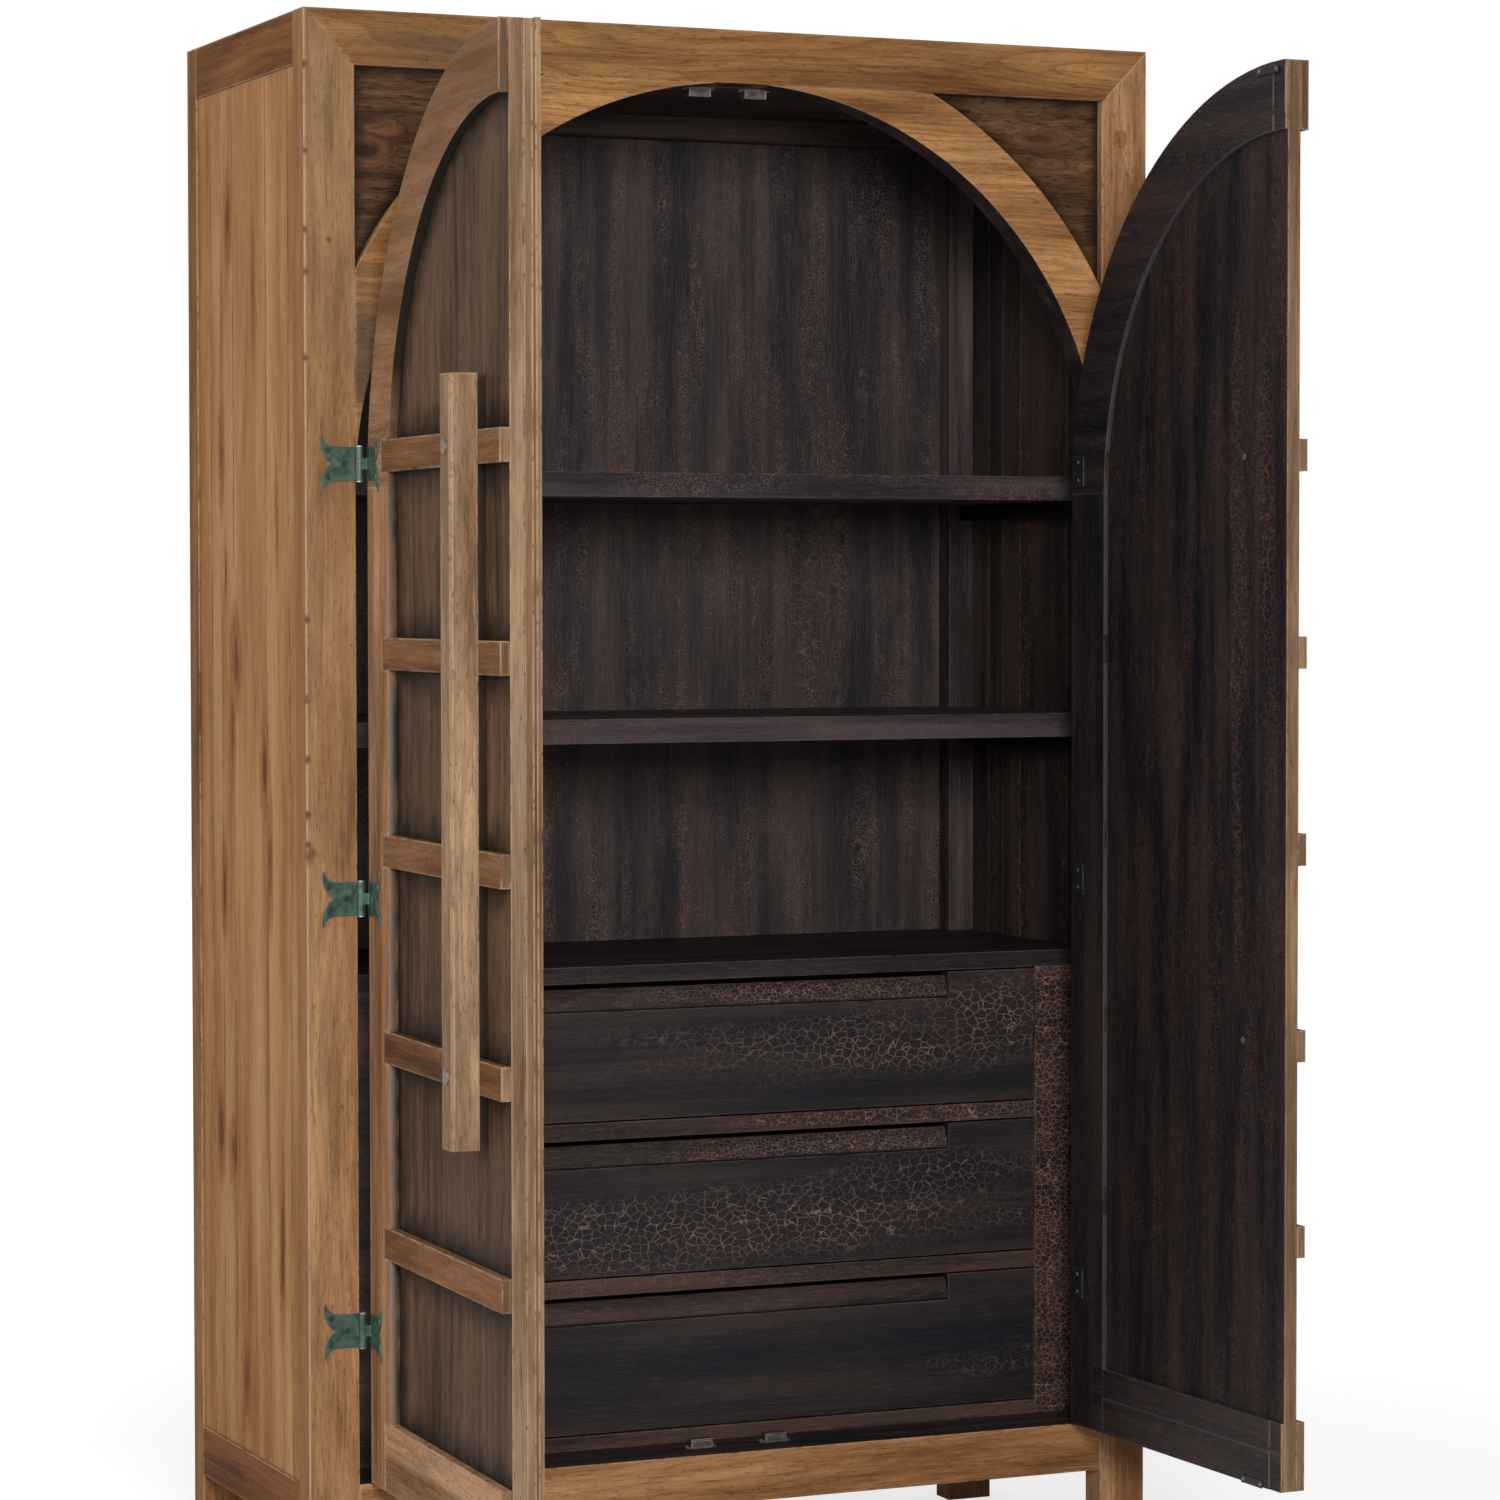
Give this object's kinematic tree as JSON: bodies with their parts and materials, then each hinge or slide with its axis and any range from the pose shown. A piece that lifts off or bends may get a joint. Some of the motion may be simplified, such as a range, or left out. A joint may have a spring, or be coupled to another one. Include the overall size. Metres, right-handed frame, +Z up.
{
  "type": "wardrobe",
  "caption": "Free-standing arched wardrobe on square legs, with a pair of battened doors, open shelves and a case of drawers inside.",
  "frame": {"origin": "on the floor, in the middle of the footprint with the doors open: on the centre line, 19 mm before the front frame's face", "axes": "+Z up, +X to the right along the front, +Y into the depth, so the doors face -Y"},
  "size_m": [1.219, 1.0742, 2.1],
  "materials": {
    "oak": "satin",
    "walnut": "satin",
    "stained": "satin",
    "patina": "satin",
    "steel": "satin"
  },
  "bodies": {
    "cabinet": {"arch_band_left": "oak", "arch_band_right": "oak", "back_panel": "stained", "back_rails": "stained", "case_face_frame": "stained", "case_partitions": "stained", "case_top": "stained", "ceiling_panel": "stained", "drawer_runners": "stained", "floor_panel": "stained", "front_bottom_rail": "oak", "front_post_left": "oak", "front_post_right": "oak", "front_top_rail": "oak", "head_cleat": "stained", "hinge_pins": "patina", "hinge_post_leaves": "patina", "hinge_post_screws": "patina", "magnetic_catches": "steel", "rear_post_left": "oak", "rear_post_right": "oak", "shelf_cleats": "stained", "shelf_lower": "stained", "shelf_upper": "stained", "side_planks_left": "oak", "side_planks_right": "oak", "side_rails_left": "oak", "side_rails_right": "oak", "spandrel_panels": "walnut", "top_panel": "oak"},
    "left_door": {"left_door_astragal": "stained", "left_door_battens": "oak", "left_door_handle": "oak", "left_door_hinge_leaves": "patina", "left_door_inner_frame": "stained", "left_door_outer_frame": "oak", "left_door_panel": "walnut", "left_door_plates": "steel", "left_door_screws": "steel"},
    "right_door": {"right_door_battens": "oak", "right_door_handle": "oak", "right_door_hinge_leaves": "patina", "right_door_inner_frame": "stained", "right_door_outer_frame": "oak", "right_door_panel": "walnut", "right_door_plates": "steel", "right_door_screws": "steel"},
    "drawer_bottom": {"drawer_bottom_bottom": "stained", "drawer_bottom_box": "stained", "drawer_bottom_front": "stained", "drawer_bottom_pull": "stained"},
    "drawer_middle": {"drawer_middle_bottom": "stained", "drawer_middle_box": "stained", "drawer_middle_front": "stained", "drawer_middle_pull": "stained"},
    "drawer_top": {"drawer_top_bottom": "stained", "drawer_top_box": "stained", "drawer_top_front": "stained", "drawer_top_pull": "stained"}
  },
  "joints": [
    {"name": "left_door_swing", "type": "hinge", "parent": "cabinet", "child": "left_door", "pos_m": [-0.5385, 0.013, 1], "axis": [0, 0, -1], "range_deg": [-92, 83]},
    {"name": "right_door_swing", "type": "hinge", "parent": "cabinet", "child": "right_door", "pos_m": [0.5385, 0.013, 1], "axis": [0, 0, 1], "range_deg": [-92, 83]},
    {"name": "drawer_bottom_slide", "type": "slide", "parent": "cabinet", "child": "drawer_bottom", "axis": [0, -1, 0], "range_m": [0, 0.3]},
    {"name": "drawer_middle_slide", "type": "slide", "parent": "cabinet", "child": "drawer_middle", "axis": [0, -1, 0], "range_m": [0, 0.3]},
    {"name": "drawer_top_slide", "type": "slide", "parent": "cabinet", "child": "drawer_top", "axis": [0, -1, 0], "range_m": [0, 0.3]}
  ]
}
